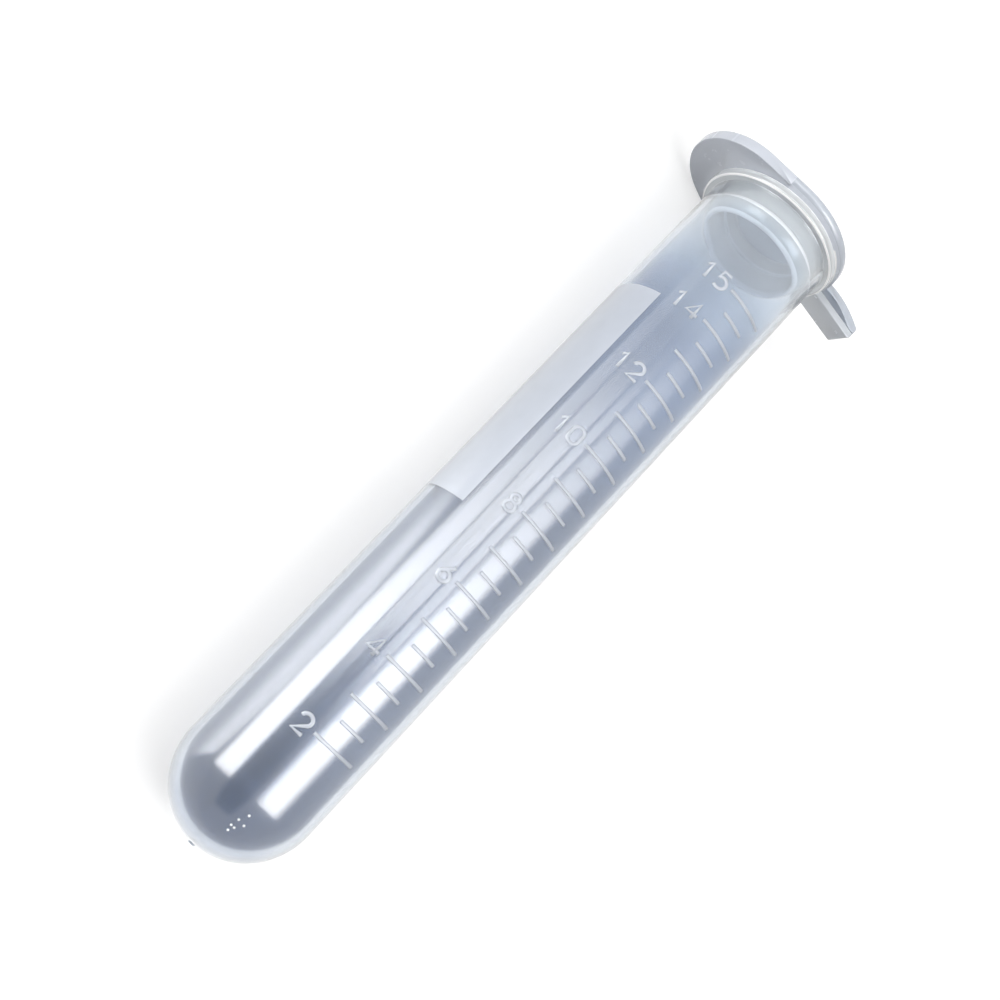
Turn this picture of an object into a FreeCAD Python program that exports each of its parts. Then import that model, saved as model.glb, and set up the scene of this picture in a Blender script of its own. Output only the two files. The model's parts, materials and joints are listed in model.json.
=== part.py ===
"""Round-bottom centrifuge tube of 15 ml with a captive snap cap, lying on a bench.

The tube, the strap and the cap are one polypropylene moulding. It is split here only at the
strap's fold, where the cap turns. Both halves are drawn upright, with the tube's axis on +Z and
its closed end at zero, and are then laid down on the closed end and on the rim of the plate.
"""
import FreeCAD, Part
import math
import os

V = FreeCAD.Vector

# Tube, mm
end_diameter = 17.0        # outside, where the round end meets the body
draft_deg = 0.225          # the body widens towards the mouth so that it leaves the mould
tube_length = 98.3         # closed end to the top of the flange
wall = 0.9
end_wall = 1.2             # thicker at the gate
gate_diameter = 0.9
gate_height = 0.2

# Mouth
flange_overhang = 0.95     # past the body, all round
flange_thickness = 1.05
flange_bevel = 0.3         # along its lower edge
seat_depth = 3.4           # widened top of the bore that takes the plug
seat_step = 0.1            # how much wider than the bore
mouth_chamfer = 0.4

# Cap plate and its thumb tab
plate_overhang = 0.4       # past the flange
plate_thickness = 1.3
plate_round = 0.25         # along the top edge
ledge_height = 0.2         # step under the plate's rim
ledge_width = 0.3
cap_gap = 0.1              # between the flange and the closed cap
tab_radius = 8.2
tab_offset = 6.0           # of the tab's centre from the tube's axis
tab_pad_start = 5.2        # the tab is thick from here outwards

# Plug under the plate
plug_depth = 4.85          # below the plate's ledge
plug_clearance = 0.2       # between the bead and its seat
bead_depth = 3.05          # of the bead's middle below the ledge
bead_height = 0.25         # how far the bead stands out of the neck
bead_land = 0.3            # flat top of the bead
nose_taper = 0.62          # lost from the bead to the nose
nose_height = 0.4          # bevelled end of the plug
nose_inset = 0.35
plug_wall_end = 0.65       # at the nose
plug_draft_deg = 8.0       # inside the plug
ceiling_depth = 0.3        # the hollow runs this far up into the plate

# Strap
strap_width = 3.9
strap_thickness = 0.95     # of the upper leg; the lower one starts at the flange's underside
strap_reach = 7.3          # flange to the fold
strap_edge_break = 0.2     # bevel along the legs' edges
strap_rise = 0.2           # from the plate's underside to the upper leg's
strap_root = 1.2           # how far each leg is let into what carries it
arch_height = 0.3          # rise of the upper leg's arch above its root
fold_gap = 0.08            # slit between the two legs at the fold
fold_length = 1.4          # stretch where the legs lie on each other
tip_round = 0.45

# Rest on the bench
tab_dip_deg = 12.4         # the tab points this far below level, and the strap above it

# Worked out from the sizes above
draft = math.radians(draft_deg)
end_r = end_diameter / 2


def body_radius(z):
    """Outer radius of the drafted body at height z."""
    return end_r * math.cos(draft) + (z - end_r * (1 - math.sin(draft))) * math.tan(draft)


mouth_r = body_radius(tube_length)
bore_r = mouth_r - wall
seat_r = bore_r + seat_step
flange_r = mouth_r + flange_overhang
flange_z = tube_length - flange_thickness
ledge_z = tube_length + cap_gap
plate_z = ledge_z + ledge_height
top_z = plate_z + plate_thickness
plate_r = flange_r + plate_overhang
fold_r = flange_r + strap_reach
fold_z = tube_length - fold_gap / 2
tip_r = fold_r - fold_gap / 2
bead_r = seat_r - plug_clearance


def revolved(edges):
    """Solid turned about Z from a closed outline in the XZ plane."""
    face = Part.Face(Part.Wire(edges))
    return face.revolve(V(0, 0, 0), V(0, 0, 1), 360)


def path(points):
    """Straight edges through points given as (radius, height), or (start, middle, end) arcs."""
    edges = []
    here = V(points[0][0], 0, points[0][1])
    for point in points[1:]:
        if isinstance(point[0], tuple):
            middle, end = (V(p[0], 0, p[1]) for p in point)
            edges.append(Part.Arc(here, middle, end).toShape())
        else:
            end = V(point[0], 0, point[1])
            edges.append(Part.LineSegment(here, end).toShape())
        here = end
    return edges


def on_arc(centre_z, radius, degrees):
    """Point at an angle above the horizontal on a circle centred on the axis."""
    angle = math.radians(degrees)
    return (radius * math.cos(angle), centre_z + radius * math.sin(angle))


def tube_shell():
    """Drafted body with a hemispherical end, a flange and a widened seat for the plug."""
    inner_r = end_r - wall
    inner_z = end_wall + inner_r
    inner_tangent = on_arc(inner_z, inner_r, -draft_deg)
    outer_tangent = on_arc(end_r, end_r, -draft_deg)
    seat_z = tube_length - seat_depth
    gate_r = gate_diameter / 2
    gate_z = end_r - math.sqrt(end_r ** 2 - gate_r ** 2)
    profile = path([
        (0, -gate_height),
        (gate_r, -gate_height),
        (gate_r, gate_z),
        (on_arc(end_r, end_r, -45), outer_tangent),
        (body_radius(flange_z), flange_z),
        (flange_r - flange_bevel, flange_z),
        (flange_r, flange_z + flange_bevel),
        (flange_r, tube_length),
        (seat_r + mouth_chamfer, tube_length),
        (seat_r, tube_length - mouth_chamfer),
        (seat_r, seat_z),
        (bore_r, seat_z - seat_step),
        inner_tangent,
        (on_arc(inner_z, inner_r, -45), (0, end_wall)),
        (0, -gate_height),
    ])
    return revolved(profile)


def leg(side):
    """Strap leg extruded across the strap from a closed side view, with its long edges bevelled."""
    face = Part.Face(Part.Wire(path(side)))
    face.translate(V(0, -strap_width / 2, 0))
    bar = face.extrude(V(0, strap_width, 0))
    return bar.makeChamfer(strap_edge_break, [edge for edge in bar.Edges if is_long_edge(edge)])


def is_long_edge(edge):
    """True for the edges that run along the strap's two flat sides."""
    box = edge.BoundBox
    return box.YLength < strap_edge_break and box.XLength > fold_length


def lower_leg():
    """Straight leg that grows out of the flange and ends at the fold."""
    root = -(flange_r - strap_root)
    top = fold_z - fold_gap / 2
    rounding = tip_round * (1 - math.sqrt(0.5))
    return leg([
        (root, flange_z),
        (-(tip_r - tip_round), flange_z),
        ((-(tip_r - rounding), flange_z + rounding), (-tip_r, flange_z + tip_round)),
        (-tip_r, top),
        (root, top),
        (root, flange_z),
    ])


def upper_leg():
    """Arched leg that leaves the plate's rim and comes down onto the lower leg at the fold."""
    root = -(plate_r - strap_root)
    bottom = fold_z + fold_gap / 2
    root_bottom = plate_z + strap_rise
    root_top = root_bottom + strap_thickness
    rounding = tip_round * (1 - math.sqrt(0.5))
    crown = -(plate_r + strap_root)
    lap = -(fold_r - fold_length)
    tip_top = bottom + strap_thickness
    crown_bottom = root_bottom + arch_height
    return leg([
        (root, root_bottom),
        ((crown, crown_bottom), (lap, bottom)),
        (-tip_r, bottom),
        (-tip_r, tip_top - tip_round),
        ((-(tip_r - rounding), tip_top - rounding), (-(tip_r - tip_round), tip_top)),
        ((crown, crown_bottom + strap_thickness), (root, root_top)),
        (root, root_bottom),
    ])


def plate_outline(z):
    """Disc over the mouth and the tab's rounder end, joined by their common tangents."""
    lean = math.asin((plate_r - tab_radius) / tab_offset)
    side = (math.sin(lean), math.cos(lean))
    disc_point = V(plate_r * side[0], plate_r * side[1], z)
    tab_point = V(tab_offset + tab_radius * side[0], tab_radius * side[1], z)
    disc_mirror = V(disc_point.x, -disc_point.y, z)
    tab_mirror = V(tab_point.x, -tab_point.y, z)
    return Part.Wire([
        Part.Arc(disc_point, V(-plate_r, 0, z), disc_mirror).toShape(),
        Part.LineSegment(disc_mirror, tab_mirror).toShape(),
        Part.Arc(tab_mirror, V(tab_offset + tab_radius, 0, z), tab_point).toShape(),
        Part.LineSegment(tab_point, disc_point).toShape(),
    ])


def cap_plate():
    """Flat plate with a tab that is thicker than the disc by the height of the ledge."""
    plate = Part.Face(plate_outline(plate_z)).extrude(V(0, 0, plate_thickness))
    top_edges = [edge for edge in plate.Edges if edge.BoundBox.ZMin > top_z - plate_round]
    plate = plate.makeFillet(plate_round, top_edges)
    pad = Part.Face(plate_outline(ledge_z)).extrude(V(0, 0, ledge_height))
    reach = 2 * (plate_r + tab_offset)
    keep = Part.makeBox(reach, reach, ledge_height, V(tab_pad_start, -reach / 2, ledge_z))
    ledge = Part.makeCylinder(plate_r - ledge_width, ledge_height, V(0, 0, ledge_z))
    underside = pad.common(keep).fuse(ledge)
    return plate.fuse(underside).removeSplitter()


def plug():
    """Hollow plug with a sealing bead, a tapered nose and a drafted inside."""
    bead_z = ledge_z - bead_depth
    nose_z = ledge_z - plug_depth
    neck_r = bead_r - bead_height
    nose_r = bead_r - nose_taper
    lip_r = nose_r - nose_inset
    return revolved(path([
        (0, ledge_z),
        (neck_r, ledge_z),
        (neck_r, bead_z + bead_land / 2 + bead_height),
        (bead_r, bead_z + bead_land / 2),
        (bead_r, bead_z - bead_land / 2),
        (nose_r, nose_z + nose_height),
        (lip_r, nose_z),
        (0, nose_z),
        (0, ledge_z),
    ]))


def plug_hollow():
    """Drafted recess that runs up through the plug into the plate."""
    nose_z = ledge_z - plug_depth
    ceiling_z = ledge_z + ceiling_depth
    mouth = bead_r - nose_taper - plug_wall_end
    ceiling = mouth - (ceiling_z - nose_z) * math.tan(math.radians(plug_draft_deg))
    return revolved(path([
        (0, nose_z),
        (mouth, nose_z),
        (ceiling, ceiling_z),
        (0, ceiling_z),
        (0, nose_z),
    ]))


def tube():
    """Tube with the strap's lower leg, let into the flange and not into the bore."""
    inside = Part.makeCylinder(mouth_r, flange_thickness, V(0, 0, flange_z))
    return tube_shell().fuse(lower_leg().cut(inside)).removeSplitter()


def cap():
    """Plate, plug and the strap's upper leg."""
    body = cap_plate().fuse([plug(), upper_leg()])
    return body.cut(plug_hollow()).removeSplitter()


def lying(shape):
    """Roll the tab to its dip, and tilt the axis until the round end and the plate's rim are down."""
    run = plate_z - end_r
    tilt = math.degrees(math.atan2(plate_r, run) - math.asin(end_r / math.hypot(run, plate_r)))
    turned = shape.copy()
    turned.rotate(V(0, 0, 0), V(0, 0, 1), -tab_dip_deg - 90)
    turned.rotate(V(0, 0, end_r), V(0, 1, 0), tilt - 90)
    return turned


nodes = {"tube": lying(tube()), "cap": lying(cap())}
whole = Part.makeCompound(list(nodes.values())).optimalBoundingBox(False, False)
middle_x = (whole.XMin + whole.XMax) / 2
middle_y = (whole.YMin + whole.YMax) / 2

os.makedirs("parts", exist_ok=True)
for name, solid in nodes.items():
    solid.translate(V(-middle_x, -middle_y, 0))
    solid.exportStep(f"parts/{name}.step")
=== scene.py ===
import json
import math

import bmesh
import bpy
from mathutils import Matrix, Vector


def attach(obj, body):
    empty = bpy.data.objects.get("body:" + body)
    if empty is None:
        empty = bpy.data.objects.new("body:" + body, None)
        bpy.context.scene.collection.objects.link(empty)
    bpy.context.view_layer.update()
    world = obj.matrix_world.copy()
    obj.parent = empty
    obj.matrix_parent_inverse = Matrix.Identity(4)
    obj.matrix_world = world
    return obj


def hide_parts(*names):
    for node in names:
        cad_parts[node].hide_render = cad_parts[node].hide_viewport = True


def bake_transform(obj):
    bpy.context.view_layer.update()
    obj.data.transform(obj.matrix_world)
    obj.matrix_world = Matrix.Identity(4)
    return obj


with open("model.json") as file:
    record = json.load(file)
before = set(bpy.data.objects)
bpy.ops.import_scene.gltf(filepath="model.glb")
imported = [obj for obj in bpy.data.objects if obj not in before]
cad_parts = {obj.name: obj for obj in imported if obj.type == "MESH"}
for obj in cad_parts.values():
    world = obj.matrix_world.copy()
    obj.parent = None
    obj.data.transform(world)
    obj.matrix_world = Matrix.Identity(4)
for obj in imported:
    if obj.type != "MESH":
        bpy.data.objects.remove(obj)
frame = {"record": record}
bpy.context.scene.view_settings.view_transform = "Standard"
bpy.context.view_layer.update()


# Camera. It looks at the side of the tube that bears the scale, tilted a little towards the mouth
# and rolled so that the tube runs up to the right. Sizes in this script are in mm, on the tube's
# own axes: Z runs from the closed end to the mouth, X to the thumb tab and -X to the strap.
MM = 0.001
barrel_height = 80.0                # of the record's barrel mount above the closed end
camera_round = math.radians(71.0)   # from the thumb tab
camera_height = 17.34               # along the tube, from the closed end
camera_distance = 129.87            # from the tube's axis
camera_lift = math.radians(13.92)   # of the view towards the mouth
camera_roll = math.radians(46.6)
camera_lens = 41.977
camera_shift = (-0.0084, 0.0079)
camera_clip = 10.0                  # nearer things are not drawn

barrel = next(m for m in frame["record"]["mounts"] if m["name"] == "barrel")
hinge = next(j for j in frame["record"]["behaviour"]["joints"] if j["name"] == "cap_hinge")
to_mouth = -Vector(barrel["axis"]).normalized()
to_tab = (-Vector(hinge["axis"])).cross(to_mouth).normalized()
to_side = to_mouth.cross(to_tab)
closed_end = Vector(barrel["pos_m"]) - to_mouth * barrel_height * MM
lying = Matrix((to_tab, to_side, to_mouth)).transposed().to_4x4()
lying.translation = closed_end
lying_mm = lying @ Matrix.Scale(MM, 4)

toward_camera = to_tab * math.cos(camera_round) + to_side * math.sin(camera_round)
across = to_mouth.cross(toward_camera)
forward = -toward_camera * math.cos(camera_lift) + to_mouth * math.sin(camera_lift)
up = toward_camera * math.sin(camera_lift) + to_mouth * math.cos(camera_lift)
camera_right = up * math.cos(camera_roll) + across * math.sin(camera_roll)
camera_up = up * math.sin(camera_roll) - across * math.cos(camera_roll)

camera = bpy.data.objects.new("camera", bpy.data.cameras.new("camera"))
camera.matrix_world = Matrix((camera_right, camera_up, -forward)).transposed().to_4x4()
camera.location = lying_mm @ Vector((0, 0, camera_height)) + toward_camera * camera_distance * MM
camera.data.lens = camera_lens
camera.data.shift_x, camera.data.shift_y = camera_shift
camera.data.clip_start = camera_clip * MM
bpy.context.scene.collection.objects.link(camera)
bpy.context.scene.camera = camera


# Bench. A plain white sheet under the tube, and white all round it. What the lens, the plastic's
# gloss and the clear plastic see of it is white, and the sheet still takes the tube's shadow.
def shader(owner, *steps):
    """Empties a node tree and adds the nodes named, returned in that order."""
    owner.use_nodes = True
    owner.node_tree.nodes.clear()
    return [owner.node_tree.nodes.new(step) for step in steps]


def seen_rays(tree):
    """1 for camera, glossy and transmitted rays, and 0 for the rays that only carry light."""
    rays = tree.nodes.new("ShaderNodeLightPath")
    total = rays.outputs["Is Camera Ray"]
    for name in ("Is Glossy Ray", "Is Transmission Ray"):
        either = tree.nodes.new("ShaderNodeMath")
        either.operation = "MAXIMUM"
        tree.links.new(total, either.inputs[0])
        tree.links.new(rays.outputs[name], either.inputs[1])
        total = either.outputs[0]
    return total


sheet_half = 3.0                    # in metres
sheet_glow = 0.56                   # what makes it white to the eye, beside the light on it
sheet_albedo = 0.50
bm = bmesh.new()
bmesh.ops.create_grid(bm, x_segments=1, y_segments=1, size=sheet_half)
sheet = bpy.data.objects.new("bench_sheet", bpy.data.meshes.new("bench_sheet"))
bm.to_mesh(sheet.data)
bm.free()
bpy.context.scene.collection.objects.link(sheet)
paper = bpy.data.materials.new("white_sheet")
glow, diffuse, both, out = shader(
    paper, "ShaderNodeEmission", "ShaderNodeBsdfDiffuse", "ShaderNodeAddShader",
    "ShaderNodeOutputMaterial")
links = paper.node_tree.links
diffuse.inputs["Color"].default_value = (sheet_albedo, sheet_albedo, sheet_albedo, 1)
lit = paper.node_tree.nodes.new("ShaderNodeMath")
lit.operation = "MULTIPLY"
lit.inputs[1].default_value = sheet_glow
links.new(seen_rays(paper.node_tree), lit.inputs[0])
links.new(lit.outputs[0], glow.inputs["Strength"])
links.new(glow.outputs[0], both.inputs[0])
links.new(diffuse.outputs[0], both.inputs[1])
links.new(both.outputs[0], out.inputs["Surface"])
sheet.data.materials.append(paper)

room_light = 0.20                   # on the object, from the white all round
room = bpy.data.worlds.new("room")
bpy.context.scene.world = room
background, out = shader(room, "ShaderNodeBackground", "ShaderNodeOutputWorld")
strength = room.node_tree.nodes.new("ShaderNodeMapRange")
strength.inputs["To Min"].default_value = room_light
strength.inputs["To Max"].default_value = 1.0
room.node_tree.links.new(seen_rays(room.node_tree), strength.inputs["Value"])
room.node_tree.links.new(strength.outputs[0], background.inputs["Strength"])
room.node_tree.links.new(background.outputs[0], out.inputs["Surface"])
background.inputs["Color"].default_value = (1, 1, 1, 1)


# Lamps. Two long soft boxes stand along the tube, one on each side of the camera, and lay two soft
# streaks on the barrel. Three narrow ones between them start higher up and close the gap towards
# the mouth. A low one lies on the bench, beside the round end, and faces up.
lamp_distance = 600.0               # from the tube's axis
box_span = (-135, 330)              # of the long boxes along the tube
fill_span = (-5, 260)
high_span = (33, 260)


def faded(tree, board, fades):
    """1 on a board of the stage, down to 0 at its left, right, near and far edge. Each fade is a
    share of the board's width or length."""
    turn, centre, width, length = board
    spot, on_board, split = (tree.nodes.new(step) for step in (
        "ShaderNodeNewGeometry", "ShaderNodeMapping", "ShaderNodeSeparateXYZ"))
    on_board.vector_type = "TEXTURE"
    on_board.inputs["Location"].default_value = centre
    on_board.inputs["Rotation"].default_value = turn.to_euler()
    on_board.inputs["Scale"].default_value = (width / 2, length / 2, 1)
    tree.links.new(spot.outputs["Position"], on_board.inputs["Vector"])
    tree.links.new(on_board.outputs[0], split.inputs[0])
    strength = None
    for side, edge, fade in zip("XXYY", (-1, 1, -1, 1), fades):
        ramp = tree.nodes.new("ShaderNodeMapRange")
        ramp.interpolation_type = "SMOOTHSTEP"
        ramp.inputs["From Min"].default_value = edge
        ramp.inputs["From Max"].default_value = edge * (1 - 2 * fade)
        tree.links.new(split.outputs[side], ramp.inputs["Value"])
        if strength:
            product = tree.nodes.new("ShaderNodeMath")
            product.operation = "MULTIPLY"
            tree.links.new(strength, product.inputs[0])
            tree.links.new(ramp.outputs[0], product.inputs[1])
            strength = product.outputs[0]
        else:
            strength = ramp.outputs[0]
    return strength


def lamp(name, board, radiance, fades):
    """Soft box whose light falls off at its edges."""
    turn, centre, width, length = board
    data = bpy.data.lights.new(name, "AREA")
    box = bpy.data.objects.new(name, data)
    box.matrix_world = turn.to_4x4()
    box.location = centre
    data.shape = "RECTANGLE"
    data.size = width
    data.size_y = length
    data.energy = radiance * math.pi * width * length
    light, out = shader(data, "ShaderNodeEmission", "ShaderNodeOutputLight")
    tree = data.node_tree
    tree.links.new(faded(tree, board, fades), light.inputs["Strength"])
    tree.links.new(light.outputs[0], out.inputs["Surface"])
    box.visible_camera = False
    bpy.context.scene.collection.objects.link(box)


def standing(degrees, half_width, span, distance):
    """Turn, centre, width and length of a board that stands along the tube, at an angle round it
    from the camera. Its half width is in degrees too, and its span from start to end in mm."""
    angle = math.radians(degrees)
    start, end = span
    from_axis = toward_camera * math.cos(angle) + across * math.sin(angle)
    turn = Matrix((to_mouth.cross(from_axis), to_mouth, from_axis)).transposed()
    centre = closed_end + (to_mouth * (start + end) / 2 + from_axis * distance) * MM
    width = 2 * distance * math.tan(math.radians(half_width)) * MM
    return turn, centre, width, (end - start) * MM


lamp("left_box", standing(degrees=-41, half_width=18.5, span=box_span, distance=lamp_distance),
     radiance=6.3, fades=(0.15, 0.12, 0.06, 0.7))
lamp("right_box", standing(degrees=47, half_width=26, span=box_span, distance=lamp_distance),
     radiance=6.6, fades=(0.32, 0.33, 0.06, 0.7))
lamp("left_fill", standing(degrees=-15, half_width=8, span=fill_span, distance=lamp_distance),
     radiance=4.2, fades=(0.1, 0.3, 0.25, 0.3))
lamp("right_fill", standing(degrees=15, half_width=9, span=fill_span, distance=lamp_distance),
     radiance=4.2, fades=(0.3, 0.1, 0.25, 0.3))
lamp("middle_fill", standing(degrees=-2, half_width=8, span=high_span, distance=lamp_distance),
     radiance=4.8, fades=(0.1, 0.1, 0.12, 0.4))

low_near = 10.0                     # of the box on the bench, from the tube's line
low_far = 560.0
low_start = 0.0                     # along the tube
low_end = 60.0
low_height = 1.0
along_bench = Vector((to_mouth.x, to_mouth.y, 0)).normalized()
left_side = (toward_camera * across.z - across * toward_camera.z).normalized()
downward = Vector((0, 0, -1))
low_turn = Matrix((left_side, left_side.cross(downward) * -1, downward)).transposed()
low_centre = along_bench * (low_start + low_end) / 2 + left_side * (low_near + low_far) / 2
low_centre = closed_end + low_centre * MM
low_centre.z = low_height * MM
low_board = (low_turn, low_centre, (low_far - low_near) * MM, (low_end - low_start) * MM)
lamp("low_box", low_board, radiance=3.1, fades=(0.05, 0.05, 0.06, 0.3))

# A glowing card stands behind the boxes. It is no lamp but an emitting sheet, white at its edges and
# grey in its middle, that paints a darker reflection into the plastic. Only the plastic's gloss and
# what is seen through it show it.
card_grey = 0.40
card_span = (-900, 420)
card_distance = 650.0
card_board = standing(degrees=-3, half_width=26, span=card_span, distance=card_distance)
card_fades = (0.25, 0.25, 0.1, 0.3)
card_turn, card_centre, card_width, card_length = card_board
bm = bmesh.new()
bmesh.ops.create_grid(bm, x_segments=1, y_segments=1, size=0.5)
bmesh.ops.scale(bm, vec=(card_width, card_length, 1), verts=bm.verts[:])
card = bpy.data.objects.new("grey_card", bpy.data.meshes.new("grey_card"))
bm.to_mesh(card.data)
bm.free()
card.matrix_world = card_turn.to_4x4()
card.location = card_centre
card_shine = bpy.data.materials.new("painted_reflection_card")
card_emission, out = shader(card_shine, "ShaderNodeEmission", "ShaderNodeOutputMaterial")
grey = card_shine.node_tree.nodes.new("ShaderNodeMapRange")
grey.inputs["To Min"].default_value = 1.0
grey.inputs["To Max"].default_value = card_grey
card_shine.node_tree.links.new(faded(card_shine.node_tree, card_board, card_fades), grey.inputs["Value"])
card_shine.node_tree.links.new(grey.outputs[0], card_emission.inputs["Strength"])
card_shine.node_tree.links.new(card_emission.outputs[0], out.inputs["Surface"])
card.data.materials.append(card_shine)
bpy.context.scene.collection.objects.link(card)
card.visible_camera = False
card.visible_diffuse = False
card.visible_shadow = False


# Tube. It is injection moulded in natural polypropylene, clear but milky, with a gate mark under
# its round end, a drafted barrel, a wider seat for the plug and a flange at the mouth. The lower
# half of the strap grows out of the flange.
draft = math.radians(0.225)         # so that the barrel leaves the mould
end_r = 8.5                         # outside of the round end
length = 98.3                       # closed end to the flange's top
wall = 0.9
end_wall = 1.2
gate_r = 0.45
gate_height = 0.2
gate_round = 0.06
flange_over = 0.95                  # past the barrel, all round
flange_thick = 1.05
flange_fillet = 0.12                # between the barrel and the flange
flange_foot = 0.3                   # roundings of the flange's lower and upper edge
flange_brow = 0.15
mouth_round = 0.4
seat_depth = 3.4
seat_step = 0.1                     # how much wider the seat is than the bore
seat_round = 0.04
around = 192                        # facets round the barrel
arc_step = math.radians(3.0)        # between the points of a round in a section
fine = 5                            # segments of a small rounding
weld = 0.0005                       # points nearer than this are one
on_plane = 0.00001                  # and to a cutting plane, on it


def barrel_r(z):
    """Outer radius of the barrel at height z."""
    return end_r * math.cos(draft) + (z - end_r * (1 - math.sin(draft))) * math.tan(draft)


mouth_r = barrel_r(length)
bore_r = mouth_r - wall
seat_r = bore_r + seat_step
seat_z = length - seat_depth
flange_r = mouth_r + flange_over
flange_z = length - flange_thick


def section(bm, start, *moves):
    """Draws a section in the XZ plane. A move is a point (x, z), a point with its corner's
    rounding (x, z, radius), or a turn (centre x, centre z, degrees, "turn")."""
    here = bm.verts.new((start[0], 0, start[1]))
    corners = []
    for move in moves:
        if move[-1] == "turn":
            x, z, degrees = move[:3]
            angle = math.radians(degrees)
            swept = bmesh.ops.spin(
                bm, geom=[here], cent=(x, 0, z), axis=(0, -1, 0), angle=angle,
                steps=max(4, round(abs(angle) / arc_step)))
            here = next(v for v in swept["geom_last"] if isinstance(v, bmesh.types.BMVert))
            continue
        there = bm.verts.new((move[0], 0, move[1]))
        bm.edges.new((here, there))
        if len(move) == 3:
            corners.append((there, move[2]))
        here = there
    for corner, radius in corners:
        bmesh.ops.bevel(
            bm, geom=[corner], offset=radius, offset_type="OFFSET", segments=fine, profile=0.5,
            affect="VERTICES", material=-1, clamp_overlap=True)
    return here


def turned(bm):
    """Spins the section in bm round the tube's axis into a closed solid."""
    bmesh.ops.spin(
        bm, geom=bm.verts[:] + bm.edges[:], cent=(0, 0, 0), axis=(0, 0, 1), angle=2 * math.pi,
        steps=around, use_merge=True)
    bmesh.ops.remove_doubles(bm, verts=bm.verts[:], dist=weld)
    bmesh.ops.recalc_face_normals(bm, faces=bm.faces[:])


def piece(bm, name, *materials):
    """Finished piece, laid down with the tube and smooth-shaded, from a mesh drawn in mm."""
    bmesh.ops.transform(bm, matrix=lying_mm, verts=bm.verts[:])
    for face in bm.faces:
        face.smooth = True
    made = bpy.data.objects.new(name, bpy.data.meshes.new(name))
    bm.to_mesh(made.data)
    bm.free()
    for material in materials:
        made.data.materials.append(material)
    bpy.context.scene.collection.objects.link(made)
    return made


def merged(bm, part):
    """Adds the solid in part to bm."""
    carrier = bpy.data.meshes.new("carrier")
    part.to_mesh(carrier)
    part.free()
    bm.from_mesh(carrier)
    bpy.data.meshes.remove(carrier)


def combined(bm, operation, tool):
    """The solid in bm with another one joined to it or cut out of it."""
    solids = [bpy.data.objects.new(role, bpy.data.meshes.new(role)) for role in ("body", "tool")]
    for source, solid in zip((bm, tool), solids):
        source.to_mesh(solid.data)
        source.free()
        bpy.context.scene.collection.objects.link(solid)
    step = solids[0].modifiers.new("combine", "BOOLEAN")
    step.operation = operation
    step.solver = "EXACT"
    step.object = solids[1]
    graph = bpy.context.evaluated_depsgraph_get()
    made = bmesh.new()
    made.from_mesh(solids[0].evaluated_get(graph).to_mesh())
    for solid in solids:
        bpy.data.meshes.remove(solid.data)
    return made


def strap_leg(start, *moves):
    """Strap leg: its side view, pulled across the strap's width, with rounded long edges."""
    leg = bmesh.new()
    section(leg, start, *moves, start)
    bmesh.ops.remove_doubles(leg, verts=leg.verts[:], dist=weld)
    bmesh.ops.contextual_create(leg, geom=leg.edges[:])
    bmesh.ops.translate(leg, vec=(0, -strap_width / 2, 0), verts=leg.verts[:])
    pulled = bmesh.ops.extrude_face_region(leg, geom=leg.faces[:])
    ends = [v for v in pulled["geom"] if isinstance(v, bmesh.types.BMVert)]
    bmesh.ops.translate(leg, vec=(0, strap_width, 0), verts=ends)
    long_edges = [e for e in leg.edges if abs(e.verts[0].co.y - e.verts[1].co.y) < weld]
    bmesh.ops.bevel(
        leg, geom=long_edges, offset=strap_edge, offset_type="OFFSET", segments=3,
        profile=0.5, affect="EDGES", material=-1, clamp_overlap=True)
    bmesh.ops.recalc_face_normals(leg, faces=leg.faces[:])
    return leg


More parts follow.
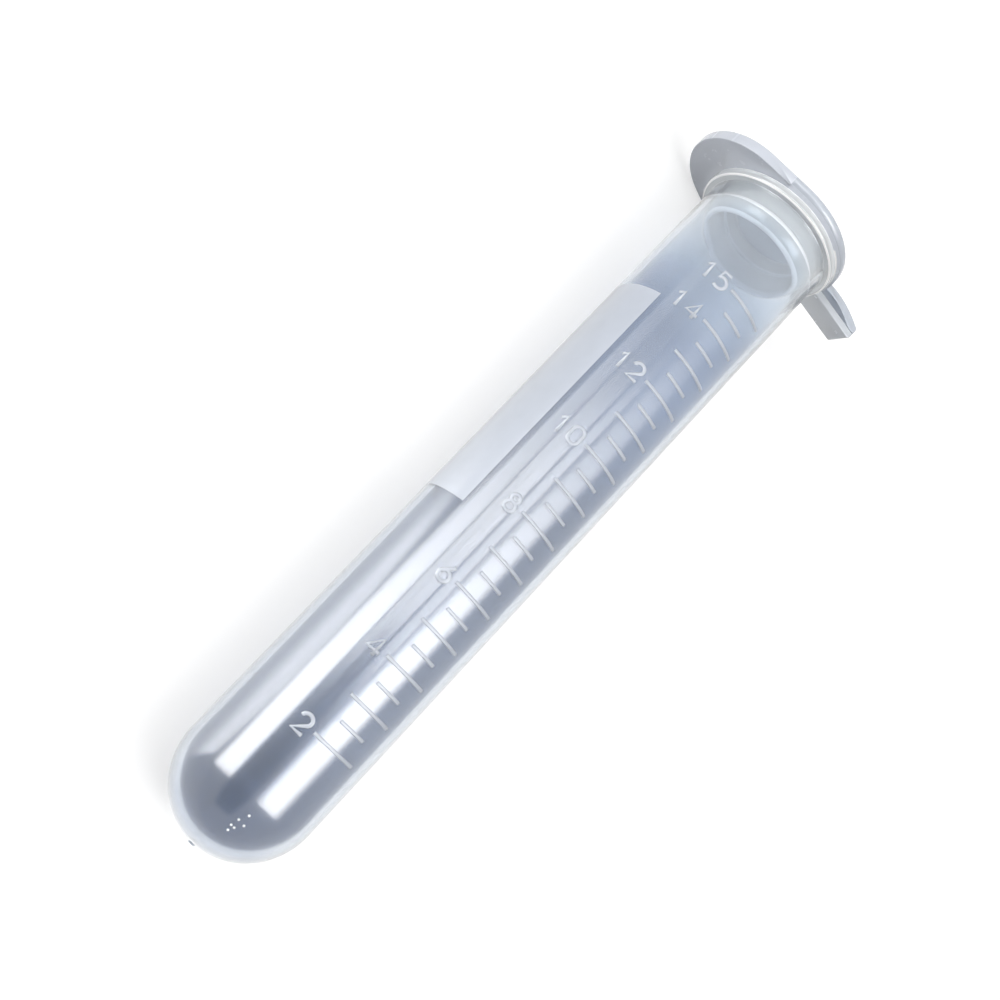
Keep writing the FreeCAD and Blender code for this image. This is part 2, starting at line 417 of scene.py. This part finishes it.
def polypropylene(name, colour, clearness, roughness, gloss, milk, painted_light=()):
    """Natural polypropylene: milky and slightly blue, with faint flow marks along the tube. Over each
    stretch given as (start height, end height, colour), the colour blends into the one given there:
    painted light and shade along the tube's length."""
    material = bpy.data.materials.new(name)
    skin, out, where, axes, along, flow, mottle, tint, sheen, ripple = shader(
        material, "ShaderNodeBsdfPrincipled", "ShaderNodeOutputMaterial",
        "ShaderNodeTexCoord", "ShaderNodeMapping", "ShaderNodeMapping",
        "ShaderNodeTexNoise", "ShaderNodeTexNoise", "ShaderNodeMix", "ShaderNodeMapRange",
        "ShaderNodeBump")
    links = material.node_tree.links
    links.new(skin.outputs[0], out.inputs["Surface"])
    to_axes = lying_mm.inverted()
    axes.inputs["Location"].default_value = to_axes.translation
    axes.inputs["Rotation"].default_value = to_axes.to_euler()
    axes.inputs["Scale"].default_value = to_axes.to_scale()
    links.new(where.outputs["Object"], axes.inputs["Vector"])
    along.inputs["Scale"].default_value = (1, 1, flow_stretch)
    links.new(axes.outputs[0], along.inputs["Vector"])
    flow.inputs["Scale"].default_value = flow_scale
    flow.inputs["Detail"].default_value = flow_detail
    links.new(along.outputs[0], flow.inputs["Vector"])
    mottle.inputs["Scale"].default_value = mottle_scale
    mottle.inputs["Detail"].default_value = mottle_detail
    links.new(axes.outputs[0], mottle.inputs["Vector"])
    tint.data_type = "RGBA"
    tint.inputs["A"].default_value = (*(c * (1 - mottling) for c in colour), 1)
    tint.inputs["B"].default_value = (*(min(1, c * (1 + mottling)) for c in colour), 1)
    links.new(mottle.outputs["Fac"], tint.inputs["Factor"])
    tinted = tint.outputs["Result"]
    for start, end, painted_colour in painted_light:
        depth, height, painted_blend = (material.node_tree.nodes.new(step) for step in (
            "ShaderNodeSeparateXYZ", "ShaderNodeMapRange", "ShaderNodeMix"))
        links.new(axes.outputs[0], depth.inputs[0])
        height.interpolation_type = "SMOOTHSTEP"
        height.inputs["From Min"].default_value = start
        height.inputs["From Max"].default_value = end
        links.new(depth.outputs["Z"], height.inputs["Value"])
        painted_blend.data_type = "RGBA"
        painted_blend.inputs["B"].default_value = (*painted_colour, 1)
        links.new(height.outputs[0], painted_blend.inputs["Factor"])
        links.new(tinted, painted_blend.inputs["A"])
        tinted = painted_blend.outputs["Result"]
    links.new(tinted, skin.inputs["Base Color"])
    sheen.inputs["To Min"].default_value = roughness * (1 - flow_sheen)
    sheen.inputs["To Max"].default_value = roughness * (1 + flow_sheen)
    links.new(flow.outputs["Fac"], sheen.inputs["Value"])
    links.new(sheen.outputs[0], skin.inputs["Roughness"])
    ripple.inputs["Strength"].default_value = ripple_strength
    ripple.inputs["Distance"].default_value = ripple_height * MM
    links.new(flow.outputs["Fac"], ripple.inputs["Height"])
    links.new(ripple.outputs[0], skin.inputs["Normal"])
    skin.inputs["Transmission Weight"].default_value = clearness
    skin.inputs["IOR"].default_value = plastic_ior
    skin.inputs["Coat Weight"].default_value = gloss
    skin.inputs["Coat Roughness"].default_value = coat_roughness
    skin.inputs["Coat IOR"].default_value = coat_ior
    skin.inputs["Sheen Weight"].default_value = milk
    skin.inputs["Sheen Roughness"].default_value = milk_roughness
    return material


plastic_ior = 1.49
coat_ior = 1.8
coat_roughness = 0.22               # a broad glow round the sharper gloss underneath
milk_roughness = 0.4
flow_scale = 0.9                    # per mm
flow_stretch = 0.06
flow_detail = 3
flow_sheen = 0.3                    # share by which the flow marks change the roughness
mottle_scale = 0.5
mottle_detail = 4
mottling = 0.05
ripple_height = 0.006
ripple_strength = 0.3
# Outside: the plastic's own blue-grey tint, darker at the tip of the round end (painted shade) and paler
# towards the mouth (painted light).
tube_plastic = polypropylene(
    "tube_plastic", (0.52, 0.59, 0.70), clearness=0.96, roughness=0.08, gloss=1.0, milk=0.3,
    painted_light=((2, 6, (0.72, 0.79, 0.88)), (84, 93, (0.88, 0.93, 0.98))))
# Bore: the plastic's own blue tint, darkened steeply towards the round end (painted shade) and paled up
# to white at the seat round the plug (painted light).
bore_plastic = polypropylene(
    "bore_plastic", (0.105, 0.147, 0.245), clearness=0.96, roughness=0.06, gloss=0.0, milk=0.3,
    painted_light=((6, 22, (0.205, 0.25, 0.35)), (50, 74, (0.295, 0.37, 0.515)),
             (82, 90, (0.78, 0.85, 0.93)), (93.5, 95.5, (1.0, 1.0, 1.0))))

inner_r = end_r - wall
inner_z = end_wall + inner_r
gate_z = end_r - math.sqrt(end_r ** 2 - gate_r ** 2)
gate_lean = math.degrees(math.asin(gate_r / end_r))
bm = bmesh.new()
section(
    bm, (0, -gate_height),
    (gate_r, -gate_height, gate_round),
    (gate_r, gate_z),
    (0, end_r, 90 - gate_lean - math.degrees(draft), "turn"),
    (barrel_r(flange_z), flange_z, flange_fillet),
    (flange_r, flange_z, flange_foot),
    (flange_r, length, flange_brow),
    (seat_r, length, mouth_round),
    (seat_r, seat_z, seat_round),
    (bore_r, seat_z - seat_step, seat_round),
    (inner_r * math.cos(draft), inner_z - inner_r * math.sin(draft)),
    (0, inner_z, -90 + math.degrees(draft), "turn"),
)
turned(bm)

strap_width = 3.9
strap_thick = 0.95
strap_edge = 0.2
strap_reach = 7.3                   # flange to fold
strap_inset = 0.6                   # of the leg's root behind the flange's rim
fold_gap = 0.08                     # slit between the legs at the fold
fold_r = flange_r + strap_reach
fold_z = length - fold_gap / 2
fold_skin = 0.1                     # thickness of the web that joins the legs
tip_r = fold_r - fold_gap / 2 - fold_skin / 2
tip_round = 0.45
skim = 0.02                         # keeps the leg's faces off the flange's
leg_root = -(flange_r - strap_inset)
bm = combined(bm, "UNION", strap_leg(
    (leg_root, flange_z + skim),
    (-tip_r, flange_z + skim, tip_round),
    (-tip_r, fold_z - fold_gap / 2, fold_skin),
    (leg_root, fold_z - fold_gap / 2)))

panel_low = 44.75                   # frosted panel for writing on, flush with the barrel
panel_high = 78.3
panel_right = -28.4                 # degrees round the barrel from the camera's side
panel_left = -108.0
panel_corner = 0.9                  # rounding of the corner towards the scale and the mouth
corner_step = 18                    # degrees between the cuts that round it
panel_margin = 4.0                  # degrees past its edges that the cuts may reach
facing = 0.9                        # of a unit normal, for a face that looks that way
from_camera = Matrix.Rotation(-camera_round, 4, "Z")


def cut(bm, faces, point, normal):
    """Cuts the faces along a plane."""
    geom = list(dict.fromkeys(g for f in faces for g in (f, *f.edges, *f.verts)))
    bmesh.ops.bisect_plane(bm, geom=geom, dist=on_plane, plane_co=point, plane_no=normal)


def round_angle(point):
    """Degrees round the tube's axis from the camera's side."""
    turned_back = from_camera @ point
    return math.degrees(math.atan2(turned_back.y, turned_back.x))


def on_barrel(bm, low, high, left, right):
    """Outer faces of the barrel between two heights and two angles."""
    found = []
    for face in bm.faces:
        middle = face.calc_center_median()
        outer = middle.xy.length > barrel_r(middle.z) - wall / 2
        inside = low < middle.z < high and left < round_angle(middle) < right
        if outer and inside and face.normal.xy.length > facing:
            found.append(face)
    return found


for edge in (panel_low, panel_high):
    cut(bm, on_barrel(bm, end_r, seat_z, panel_left - panel_margin, panel_right + panel_margin),
        (0, 0, edge), (0, 0, 1))
for edge in (panel_left, panel_right):
    angle = camera_round + math.radians(edge)
    cut(bm, on_barrel(bm, panel_low, panel_high, edge - panel_margin, edge + panel_margin),
        (0, 0, 0), (-math.sin(angle), math.cos(angle), 0))
corner_z = panel_high - panel_corner
corner_turn = math.degrees(panel_corner / barrel_r(corner_z))
angle = camera_round + math.radians(panel_right - corner_turn)
corner = Vector((math.cos(angle), math.sin(angle), 0)) * barrel_r(corner_z)
corner.z = corner_z
sideways = Vector((-math.sin(angle), math.cos(angle), 0))
for lean_degrees in range(corner_step, 90, corner_step):
    lean = math.radians(lean_degrees)
    outward = sideways * math.cos(lean) + Vector((0, 0, math.sin(lean)))
    cut(bm, on_barrel(bm, corner_z, panel_high, panel_right - corner_turn, panel_right),
        corner + outward * panel_corner, outward)
tube_slot, panel_slot, rim_slot, bore_slot, leg_slot, flange_highlight_slot = range(6)
kept_corner = panel_corner * math.cos(math.radians(corner_step / 2))
for face in on_barrel(bm, panel_low, panel_high, panel_left, panel_right):
    past = face.calc_center_median() - corner
    outside = min(past.z, past.dot(sideways)) > 0 and past.length > kept_corner
    face.material_index = tube_slot if outside else panel_slot
frosted_plastic = polypropylene(
    "frosted_plastic", (0.52, 0.56, 0.63), clearness=0.25, roughness=0.45, gloss=1.0, milk=0.3)
# Paler, milkier flange and mouth: partly the thicker plastic's own milkiness, partly painted light.
rim_plastic = polypropylene(
    "rim_plastic", (0.92, 0.96, 1.0), clearness=0.60, roughness=0.10, gloss=1.0, milk=0.3)
leg_plastic = polypropylene(
    "leg_plastic", (0.66, 0.70, 0.75), clearness=0.20, roughness=0.25, gloss=0.5, milk=0.1)
# White, nearly opaque bands on the flange's top and bottom edges: painted highlights.
flange_highlight_plastic = polypropylene(
    "flange_highlight_plastic", (1.0, 1.0, 1.0), clearness=0.05, roughness=0.20, gloss=1.0, milk=0.3)
highlight_width = 0.1                         # width of the painted highlights on the flange's edges
for face in bm.faces:
    middle = face.calc_center_median()
    to_axis = Vector((0, 0, max(middle.z, inner_z))) - middle
    at_brow = middle.z > length - flange_brow and middle.xy.length > flange_r - highlight_width
    at_foot = flange_z - skim < middle.z < flange_z + highlight_width and middle.xy.length > flange_r - flange_foot
    if middle.x < -flange_r:
        face.material_index = leg_slot
    elif middle.z > flange_z - skim and middle.xy.length > mouth_r:
        face.material_index = rim_slot
    elif middle.z < length - skim and face.normal.dot(to_axis) > 0:
        face.material_index = bore_slot
    if middle.x > -flange_r and (at_brow or at_foot):
        face.material_index = flange_highlight_slot
tube = piece(
    bm, "tube_moulding", tube_plastic, frosted_plastic, rim_plastic, bore_plastic, leg_plastic,
    flange_highlight_plastic)
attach(tube, "tube")
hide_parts("tube")


# Pips. Six pin-head bumps in the tube's own plastic, in one with its round end, where the mould is
# vented. They are drawn near white and almost opaque: painted highlights on the real bumps.
pip_places = (                      # degrees round from the camera's side, and below the equator
    (16.4, 14.0), (13.3, 20.7), (19.5, 21.6), (12.5, 27.2), (15.7, 27.3), (14.0, 31.9))
pip_r = 0.16
pip_sunk = 0.1                      # of its centre, below the plastic's surface
bm = bmesh.new()
for turn, below in pip_places:
    angle = camera_round + math.radians(turn)
    out = Vector((math.cos(angle), math.sin(angle), 0)) * math.cos(math.radians(below))
    out.z = -math.sin(math.radians(below))
    spot = Vector((0, 0, end_r)) + out * (end_r - pip_sunk)
    bmesh.ops.create_uvsphere(
        bm, u_segments=16, v_segments=10, radius=pip_r, matrix=Matrix.Translation(spot))
pip_glint_plastic = polypropylene(
    "pip_glint_plastic", (0.95, 0.96, 0.98), clearness=0.05, roughness=0.15, gloss=1.0, milk=0.1)
end_pips = piece(bm, "end_pips", pip_glint_plastic)
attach(end_pips, "tube")


# Scale. Raised lines and numbers that the mould leaves on the barrel, in the tube's own plastic:
# a long line at each millilitre from 2 to 15, a short one between them, and a number at every
# second long line.
first_mark = 2                      # in millilitres
last_mark = 15
mark_zero = 6.4653                  # height at which the scale would start
mark_step = 5.211                   # from one millilitre to the next, at mark_middle
mark_middle = 8
mark_closing = 0.009                # how fast the marks close up beyond it
line_width = 0.42
line_relief = 0.08
line_root = 0.05                    # let into the barrel
line_round = 0.1                    # of the crest's edges
long_line = (9.1, 51.0)             # degrees round the barrel from the camera's side
short_line = (17.2, 41.7)
number_edge = 4.2                   # right-hand end of the numbers, in the same degrees
number_height = 2.12                # between the middles of its strokes
digit_gap = 0.47                    # of a digit's height
digit_stretch = 1.12                # sideways, of the shapes below
number_line = 0.44                  # width of its strokes
number_slice = 0.3                  # between the cuts that let a number bend round the barrel
numbered = (2, 4, 6, 8, 10, 12, 14, 15)


def mark_z(millilitres):
    """Height of a mark. The bore widens a little, so the marks close up towards the mouth."""
    closing = mark_closing * (millilitres - mark_middle) ** 2
    return mark_zero + mark_step * millilitres - closing


def raised_line(z, start, end):
    """Line round part of the barrel, with a rounded crest."""
    bm = bmesh.new()
    foot = barrel_r(z) - line_root
    crest = barrel_r(z) + line_relief
    low = z - line_width / 2
    high = z + line_width / 2
    outline = ((foot, low), (crest, low), (crest, high), (foot, high))
    corners = [bm.verts.new((x, 0, y)) for x, y in outline]
    bm.faces.new(corners)
    bmesh.ops.bevel(
        bm, geom=corners[1:3], offset=line_round, offset_type="OFFSET", segments=3, profile=0.5,
        affect="VERTICES", material=-1, clamp_overlap=True)
    bmesh.ops.rotate(
        bm, cent=(0, 0, 0), verts=bm.verts[:],
        matrix=Matrix.Rotation(camera_round + math.radians(start), 3, "Z"))
    bmesh.ops.spin(
        bm, geom=bm.verts[:] + bm.edges[:] + bm.faces[:], cent=(0, 0, 0), axis=(0, 0, 1),
        angle=math.radians(end - start), steps=round(end - start))
    bmesh.ops.recalc_face_normals(bm, faces=bm.faces[:])
    return bm


def digit(name):
    """Strokes of a digit one high, each as a start and its moves, and the digit's width."""
    if name == "0":
        ring = ((0, 0.70), (0, 0.30), (0.3, 0.30, 180, "turn"), (0.6, 0.70), (0.3, 0.70, 180, "turn"))
        return [ring], 0.6
    if name == "1":
        return [((0, 0.78), (0.24, 1), (0.24, 0))], 0.3
    if name == "2":
        return [((0.02, 0.74), (0.31, 0.70, -215, "turn"), (0, 0), (0.62, 0))], 0.62
    if name == "4":
        return [((0.48, 0), (0.48, 1), (0, 0.28), (0.68, 0.28))], 0.68
    if name == "5":
        return [((0.56, 1), (0.12, 1), (0.06, 0.58), (0.28, 0.32, -260, "turn"))], 0.6
    if name == "6":
        return [((0.52, 0.98), (0.04, 0.42)), ((0, 0.3), (0.3, 0.3, 360, "turn"))], 0.6
    return [((0.08, 0.76), (0.3, 0.76, 360, "turn")), ((0.02, 0.27), (0.3, 0.27, 360, "turn"))], 0.6


def stroke(line, advance):
    """Bar with rounded sides along a line drawn in the XZ plane."""
    ends = [v for v in line.verts if len(v.link_edges) == 1]
    here = ends[0] if ends else next(iter(line.verts))
    order = [here]
    came = None
    while True:
        onward = [e for e in here.link_edges if e is not came]
        if not onward:
            break
        came = onward[0]
        here = came.other_vert(here)
        if here is order[0]:
            break
        order.append(here)
    curve = bpy.data.curves.new("stroke", "CURVE")
    curve.dimensions = "3D"
    curve.bevel_depth = number_line / 2
    curve.bevel_resolution = 2
    curve.use_fill_caps = True
    spline = curve.splines.new("POLY")
    spline.points.add(len(order) - 1)
    for point, vert in zip(spline.points, order):
        x = (vert.co.x + advance) * digit_stretch
        point.co = (x * number_height, 0, vert.co.z * number_height, 1)
    spline.use_cyclic_u = not ends
    holder = bpy.data.objects.new("stroke", curve)
    bpy.context.scene.collection.objects.link(holder)
    graph = bpy.context.evaluated_depsgraph_get()
    solid = bpy.data.meshes.new_from_object(holder.evaluated_get(graph))
    made = bmesh.new()
    made.from_mesh(solid)
    bpy.data.curves.remove(curve)
    bpy.data.meshes.remove(solid)
    line.free()
    bmesh.ops.remove_doubles(made, verts=made.verts[:], dist=weld)
    bmesh.ops.scale(made, vec=(1, (line_relief + line_root) / number_line, 1), verts=made.verts[:])
    return made


def raised_number(number, z):
    """Number upright on the barrel, with its middle at height z and its right end at its place."""
    bm = bmesh.new()
    advance = 0
    for name in str(number):
        strokes, width = digit(name)
        for start, *moves in strokes:
            line = bmesh.new()
            section(line, start, *moves)
            bmesh.ops.remove_doubles(line, verts=line.verts[:], dist=weld)
            merged(bm, stroke(line, advance))
        advance += width + digit_gap
    left = (advance - digit_gap) * digit_stretch * number_height
    edges = math.ceil(left / number_slice)
    for slice_edge in range(edges):
        cut(bm, bm.faces[:], (slice_edge * number_slice, 0, 0), (1, 0, 0))
    for vert in bm.verts:
        height = z + vert.co.z - number_height / 2
        radius = barrel_r(height) + vert.co.y + (line_relief - line_root) / 2
        angle = camera_round + math.radians(number_edge) + (vert.co.x - left) / barrel_r(z)
        vert.co = (radius * math.cos(angle), radius * math.sin(angle), height)
    bmesh.ops.recalc_face_normals(bm, faces=bm.faces[:])
    return bm


bm = bmesh.new()
for half in range(2 * first_mark, 2 * last_mark + 1):
    reach = short_line if half % 2 else long_line
    merged(bm, raised_line(mark_z(half / 2), *reach))
for number in numbered:
    merged(bm, raised_number(number, mark_z(number)))
mark_plastic = polypropylene(
    "mark_plastic", (0.58, 0.62, 0.69), clearness=0.35, roughness=0.35, gloss=0.5, milk=0.3)
scale = piece(bm, "moulded_scale", mark_plastic)
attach(scale, "tube")


# Cap. It is moulded in one with the tube: a flat disc that runs out into a rounder, thicker thumb
# tab, over a hollow plug whose bead snaps into the seat. The upper half of the strap arches from
# its rim to the fold.
plate_over = 0.4                    # past the flange, all round
plate_thick = 1.3
plate_round = 0.25
cap_gap = 0.1                       # between the flange and the closed cap
ledge_height = 0.2                  # step under the disc's rim
ledge_inset = 0.3
ledge_round = 0.1
tab_r = 8.2
tab_x = 6.0                         # of the tab's centre
pad_x = 5.2                         # the tab's thick part starts here
flat_inset = 0.08                   # narrow border that keeps the flats' shading flat
plug_depth = 4.85
plug_root = 0.6                     # let into the plate
plug_draft = math.radians(8.0)      # inside
bead_depth = 3.05
bead_play = 0.2                     # between the bead and its seat
bead_height = 0.25
bead_land = 0.3                     # its flat top
bead_round = 0.15
nose_taper = 0.62                   # lost from the bead to the nose
nose_height = 0.4                   # of the nose's bevel
nose_inset = 0.35
nose_round = 0.3
lip_wall = 0.65                     # of the plug at its mouth
lip_round = 0.14
lip_blend = 0.1
ceiling_depth = 0.3                 # the hollow runs this far up into the plate
ceiling_round = 0.3
shoulder_depth = 1.5                # the hollow steps in here, towards its ceiling
shoulder = 0.2
shoulder_rise = 0.1
shoulder_round = 0.05
clear = 1.0                         # how far a cutting shape stands past what it cuts

plate_r = flange_r + plate_over
ledge_z = length + cap_gap
plate_z = ledge_z + ledge_height
top_z = plate_z + plate_thick
plug_z = ledge_z - plug_depth
bead_z = ledge_z - bead_depth
shoulder_z = ledge_z - shoulder_depth
ceiling_z = ledge_z + ceiling_depth
bead_r = seat_r - bead_play
neck_r = bead_r - bead_height
nose_r = bead_r - nose_taper
lip_r = nose_r - lip_wall

lean = math.asin((plate_r - tab_r) / tab_x)
bm = bmesh.new()
disc_start = bm.verts.new((plate_r * math.sin(lean), plate_r * math.cos(lean), ledge_z))
disc_turn = math.pi + 2 * lean
swept = bmesh.ops.spin(
    bm, geom=[disc_start], cent=(0, 0, ledge_z), axis=(0, 0, 1), angle=disc_turn,
    steps=round(disc_turn / arc_step))
disc_end = next(v for v in swept["geom_last"] if isinstance(v, bmesh.types.BMVert))
tab_start = bm.verts.new((tab_x + tab_r * math.sin(lean), -tab_r * math.cos(lean), ledge_z))
tab_turn = math.pi - 2 * lean
swept = bmesh.ops.spin(
    bm, geom=[tab_start], cent=(tab_x, 0, ledge_z), axis=(0, 0, 1), angle=tab_turn,
    steps=round(tab_turn / arc_step))
tab_end = next(v for v in swept["geom_last"] if isinstance(v, bmesh.types.BMVert))
bm.edges.new((disc_end, tab_start))
bm.edges.new((tab_end, disc_start))
bmesh.ops.contextual_create(bm, geom=bm.edges[:])
pulled = bmesh.ops.extrude_face_region(bm, geom=bm.faces[:])
lifted = [v for v in pulled["geom"] if isinstance(v, bmesh.types.BMVert)]
bmesh.ops.translate(bm, vec=(0, 0, top_z - ledge_z), verts=lifted)
for level, radius in ((top_z, plate_round), (ledge_z, ledge_round)):
    rim = [e for e in bm.edges if all(abs(v.co.z - level) < weld for v in e.verts)]
    bmesh.ops.bevel(
        bm, geom=rim, offset=radius, offset_type="OFFSET", segments=4, profile=0.5,
        affect="EDGES", material=-1, clamp_overlap=True)
flats = [f for f in bm.faces if abs(f.normal.z) > facing and f.calc_area() > tab_r]
bmesh.ops.inset_individual(bm, faces=flats, thickness=flat_inset)
bmesh.ops.recalc_face_normals(bm, faces=bm.faces[:])

rebate = bmesh.new()
section(
    rebate, (plate_r - ledge_inset, ledge_z - clear),
    (plate_r + clear, ledge_z - clear),
    (plate_r + clear, plate_z),
    (plate_r - ledge_inset, plate_z),
    (plate_r - ledge_inset, ledge_z - clear))
turned(rebate)
bmesh.ops.bisect_plane(
    rebate, geom=rebate.verts[:] + rebate.edges[:] + rebate.faces[:], dist=on_plane,
    plane_co=(pad_x, 0, 0), plane_no=(1, 0, 0), clear_outer=True)
bmesh.ops.holes_fill(rebate, edges=[e for e in rebate.edges if e.is_boundary], sides=0)
bmesh.ops.recalc_face_normals(rebate, faces=rebate.faces[:])
bm = combined(bm, "DIFFERENCE", rebate)

plug = bmesh.new()
section(
    plug, (0, ledge_z + plug_root),
    (neck_r, ledge_z + plug_root),
    (neck_r, bead_z + bead_land / 2 + bead_height, bead_round),
    (bead_r, bead_z + bead_land / 2, bead_round),
    (bead_r, bead_z - bead_land / 2, bead_round),
    (nose_r, plug_z + nose_height, nose_round),
    (nose_r - nose_inset, plug_z, bead_round),
    (0, plug_z))
turned(plug)
bm = combined(bm, "UNION", plug)


def hollow_r(z):
    """Radius of the plug's drafted inside at height z, below its shoulder."""
    return lip_r - (z - plug_z) * math.tan(plug_draft)


hollow = bmesh.new()
section(
    hollow, (0, plug_z - clear),
    (lip_r + lip_round, plug_z - clear),
    (lip_r + lip_round, plug_z),
    (hollow_r(plug_z + lip_round), plug_z + lip_round, lip_blend),
    (hollow_r(shoulder_z), shoulder_z, shoulder_round),
    (hollow_r(shoulder_z) - shoulder, shoulder_z + shoulder_rise, shoulder_round),
    (hollow_r(ceiling_z) - shoulder, ceiling_z, ceiling_round),
    (0, ceiling_z))
turned(hollow)
bm = combined(bm, "DIFFERENCE", hollow)


def arc_through(start, middle, end):
    """The turn that runs from start through middle to end."""
    (ax, az), (bx, bz), (cx, cz) = start, middle, end
    cross = 2 * ((bx - ax) * (cz - az) - (bz - az) * (cx - ax))
    b2 = (bx - ax) ** 2 + (bz - az) ** 2
    c2 = (cx - ax) ** 2 + (cz - az) ** 2
    x = ax + ((cz - az) * b2 - (bz - az) * c2) / cross
    z = az + ((bx - ax) * c2 - (cx - ax) * b2) / cross
    swept = math.atan2(cz - z, cx - x) - math.atan2(az - z, ax - x)
    turn = math.remainder(swept, 2 * math.pi)
    return x, z, math.degrees(turn), "turn"


leg_rise = 0.2                      # from the plate's underside to the leg's
leg_inset = 1.2                     # of its root behind the rim, and of its crown past it
arch_height = 0.3
lap_length = 1.4                    # stretch where the legs lie on each other
tip_slack = 0.01                    # keeps the tip's rounding off the arch
fold_top = fold_z + fold_gap / 2
tip_top = fold_top + strap_thick
tip_start = (-(tip_r - tip_round - tip_slack), tip_top)
leg_root = (-(plate_r - leg_inset), plate_z + leg_rise)
crown = (-(plate_r + leg_inset), plate_z + leg_rise + arch_height)
root_top, crown_top = ((x, z + strap_thick) for x, z in (leg_root, crown))
bm = combined(bm, "UNION", strap_leg(
    leg_root,
    arc_through(leg_root, crown, (-(fold_r - lap_length), fold_top)),
    (-tip_r, fold_top, fold_skin),
    (-tip_r, tip_top, tip_round),
    tip_start,
    arc_through(tip_start, crown_top, root_top)))

# Darker, opaque grey on the thumb tab's thick part and on the step under the disc's rim: painted shade
# under the tab and in the gap over the flange.
shaded_tab_plastic = polypropylene(
    "shaded_tab_plastic", (0.52, 0.55, 0.61), clearness=0.0, roughness=0.25, gloss=0.3, milk=0.1)
cap_plastic = polypropylene(
    "cap_plastic", (0.68, 0.73, 0.81), clearness=0.45, roughness=0.20, gloss=0.5, milk=0.3)
# The plug and its hollow are paler copies of the cap's plastic, the hollow white: painted light inside
# the tube's mouth.
plug_plastic = polypropylene(
    "plug_plastic", (0.91, 0.955, 1.0), clearness=0.50, roughness=0.12, gloss=0.5, milk=0.3)
lit_hollow_plastic = polypropylene(
    "lit_hollow_plastic", (1.0, 1.0, 1.0), clearness=0.20, roughness=0.12, gloss=0.5, milk=0.3)
# White, opaque rings on the plug's nose and bead and on the hollow's nose and shoulder: painted
# highlights on rounded edges.
ring_highlight_plastic = polypropylene(
    "ring_highlight_plastic", (1.0, 1.0, 1.0), clearness=0.0, roughness=0.20, gloss=1.0, milk=0.3)
nose_highlight = 0.7                     # width of the painted highlight ring inside the plug's nose
shoulder_highlight = 0.3                 # and of the one at the hollow's shoulder
nose_top = plug_z + nose_highlight
highlight_low = shoulder_z - shoulder_rise
highlight_high = shoulder_z + shoulder_highlight
past_plug = -bead_r - clear         # the strap lies further out
cap_slot, plug_slot, highlight_slot, shaded_slot, hollow_slot = range(5)
raised = [f for f in bm.faces if f.calc_center_median().z > ledge_z - skim]
cut(bm, raised, (pad_x, 0, 0), (1, 0, 0))
for height in (nose_top, highlight_low, highlight_high):
    near = [f for f in bm.faces if f.calc_center_median().x > past_plug]
    cut(bm, near, (0, 0, height), (0, 0, 1))
for face in bm.faces:
    middle = face.calc_center_median()
    if middle.xy.length < lip_r + lip_round and middle.z < ceiling_z - skim:
        highlighted = middle.z < nose_top or highlight_low < middle.z < highlight_high
        face.material_index = highlight_slot if highlighted else hollow_slot
    elif middle.x > pad_x and middle.z > ledge_z - skim:
        face.material_index = shaded_slot
    elif ledge_z - skim < middle.z < plate_z + skim and middle.x > -plate_r:
        face.material_index = shaded_slot
    elif middle.z < ledge_z - skim and middle.x > past_plug:
        at_nose = middle.z < plug_z + nose_height
        at_bead = abs(middle.z - bead_z) < bead_land and middle.xy.length > bead_r - bead_round
        face.material_index = highlight_slot if at_nose or at_bead else plug_slot
cap = piece(bm, "cap_moulding", cap_plastic, plug_plastic, ring_highlight_plastic, shaded_tab_plastic, lit_hollow_plastic)
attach(cap, "cap")
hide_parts("cap")


# Fold. The thin web of polypropylene at the strap's end, moulded in one with both of its halves.
# The real web bends when the cap is opened; here it is a fixed piece, shaped as the closed cap holds it.
fold_reach = 0.4                    # of the web above and below the slit
bm = bmesh.new()
bmesh.ops.create_grid(bm, x_segments=8, y_segments=8, size=0.5)
bmesh.ops.scale(bm, vec=(2 * fold_reach, strap_width - 2 * strap_edge, 1), verts=bm.verts[:])
bmesh.ops.rotate(bm, cent=(0, 0, 0), matrix=Matrix.Rotation(math.pi / 2, 3, "Y"), verts=bm.verts[:])
bmesh.ops.translate(bm, vec=(-(tip_r + fold_skin / 2), 0, fold_z), verts=bm.verts[:])
thick = bmesh.ops.extrude_face_region(bm, geom=bm.faces[:])
outer = [v for v in thick["geom"] if isinstance(v, bmesh.types.BMVert)]
bmesh.ops.translate(bm, vec=(fold_skin, 0, 0), verts=outer)
bmesh.ops.recalc_face_normals(bm, faces=bm.faces[:])
fold = piece(bm, "strap_fold", cap_plastic)
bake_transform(fold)
